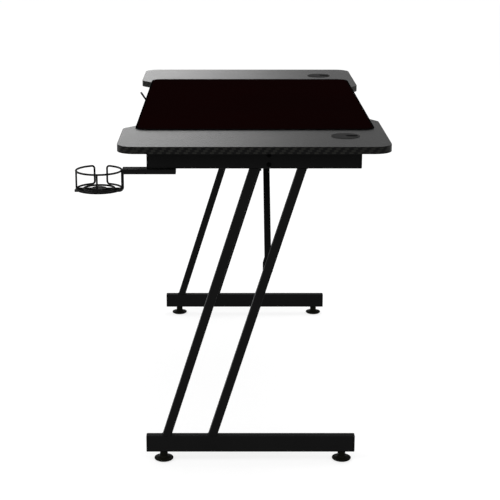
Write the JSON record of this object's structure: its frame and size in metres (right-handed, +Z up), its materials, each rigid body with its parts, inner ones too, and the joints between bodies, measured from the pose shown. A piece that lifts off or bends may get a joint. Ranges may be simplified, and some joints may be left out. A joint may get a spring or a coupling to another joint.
{
  "type": "gaming desk",
  "caption": "Desk on leaning Z-shaped tube legs with a waisted top, full mouse mat, cable grommets, wire cup holder and headphone hook.",
  "frame": {"origin": "on the floor, under the middle of the whole object's box", "axes": "+X along the desk towards the cup holder's end, +Y to the back, +Z up"},
  "size_m": [1.2066, 0.6957, 0.75],
  "materials": {
    "laminate": "satin black-grey laminate on particle board",
    "edge_band": "plastic edge band with a diagonal twill print",
    "mat": "fine knitted cloth, very dark red-black",
    "grommet_plastic": "moulded black plastic",
    "cap_plastic": "moulded black plastic",
    "foot_plastic": "moulded black plastic",
    "black_steel": "fine black powder coat",
    "wire": "black powder coat on wire",
    "black_fastener": "black oxide",
    "zinc_steel": "zinc plated"
  },
  "bodies": {
    "desk": {"desktop_board": "laminate", "edge_band": "edge_band", "mouse_mat": "mat", "grommet_liner_left": "grommet_plastic", "grommet_liner_right": "grommet_plastic", "top_beam_left": "black_steel", "top_beam_right": "black_steel", "foot_beam_left": "black_steel", "foot_beam_right": "black_steel", "front_leg_left": "black_steel", "front_leg_right": "black_steel", "rear_leg_left": "black_steel", "rear_leg_right": "black_steel", "top_beam_caps": "cap_plastic", "foot_beam_caps": "cap_plastic", "cross_rail": "black_steel", "knee_brace_left": "black_steel", "knee_brace_right": "black_steel", "rail_bolts": "black_fastener", "rail_nuts": "zinc_steel", "brace_bolts": "black_fastener", "brace_nuts": "zinc_steel", "board_screws": "zinc_steel", "leveller_inserts": "zinc_steel", "cup_basket": "wire", "cup_arm": "black_steel", "cup_arm_screws": "black_fastener", "headphone_hook": "wire", "hook_screws": "black_fastener"},
    "grommet_cap_left": {"grommet_cap_left": "grommet_plastic"},
    "grommet_cap_right": {"grommet_cap_right": "grommet_plastic"},
    "leveller_pad_front_left": {"leveller_pad_front_left": "foot_plastic"},
    "leveller_stud_front_left": {"leveller_stud_front_left": "foot_plastic"},
    "leveller_pad_back_left": {"leveller_pad_back_left": "foot_plastic"},
    "leveller_stud_back_left": {"leveller_stud_back_left": "foot_plastic"},
    "leveller_pad_front_right": {"leveller_pad_front_right": "foot_plastic"},
    "leveller_stud_front_right": {"leveller_stud_front_right": "foot_plastic"},
    "leveller_pad_back_right": {"leveller_pad_back_right": "foot_plastic"},
    "leveller_stud_back_right": {"leveller_stud_back_right": "foot_plastic"}
  },
  "joints": [
    {"name": "grommet_turn_left", "type": "hinge", "parent": "desk", "child": "grommet_cap_left", "pos_m": [-0.47635, 0.25385, 0.748], "axis": [0, 0, 1], "continuous": true},
    {"name": "grommet_turn_right", "type": "hinge", "parent": "desk", "child": "grommet_cap_right", "pos_m": [0.46965, 0.25385, 0.748], "axis": [0, 0, 1], "continuous": true},
    {"name": "level_front_left", "type": "slide", "parent": "desk", "child": "leveller_pad_front_left", "axis": [0, 0, -1], "range_m": [0, 0.012]},
    {"name": "screw_front_left", "type": "hinge", "parent": "leveller_pad_front_left", "child": "leveller_stud_front_left", "pos_m": [-0.55565, -0.15865, 0.0115], "axis": [0, 0, 1], "range_deg": [0, 3456]},
    {"name": "level_back_left", "type": "slide", "parent": "desk", "child": "leveller_pad_back_left", "axis": [0, 0, -1], "range_m": [0, 0.012]},
    {"name": "screw_back_left", "type": "hinge", "parent": "leveller_pad_back_left", "child": "leveller_stud_back_left", "pos_m": [-0.55565, 0.25435, 0.0115], "axis": [0, 0, 1], "range_deg": [0, 3456]},
    {"name": "level_front_right", "type": "slide", "parent": "desk", "child": "leveller_pad_front_right", "axis": [0, 0, -1], "range_m": [0, 0.012]},
    {"name": "screw_front_right", "type": "hinge", "parent": "leveller_pad_front_right", "child": "leveller_stud_front_right", "pos_m": [0.54895, -0.15865, 0.0115], "axis": [0, 0, 1], "range_deg": [0, 3456]},
    {"name": "level_back_right", "type": "slide", "parent": "desk", "child": "leveller_pad_back_right", "axis": [0, 0, -1], "range_m": [0, 0.012]},
    {"name": "screw_back_right", "type": "hinge", "parent": "leveller_pad_back_right", "child": "leveller_stud_back_right", "pos_m": [0.54895, 0.25435, 0.0115], "axis": [0, 0, 1], "range_deg": [0, 3456]}
  ],
  "couplings": [
    {"joint": "level_front_left", "follows": "screw_front_left", "m_per_rad": 0.00019894},
    {"joint": "level_back_left", "follows": "screw_back_left", "m_per_rad": 0.00019894},
    {"joint": "level_front_right", "follows": "screw_front_right", "m_per_rad": 0.00019894},
    {"joint": "level_back_right", "follows": "screw_back_right", "m_per_rad": 0.00019894}
  ]
}
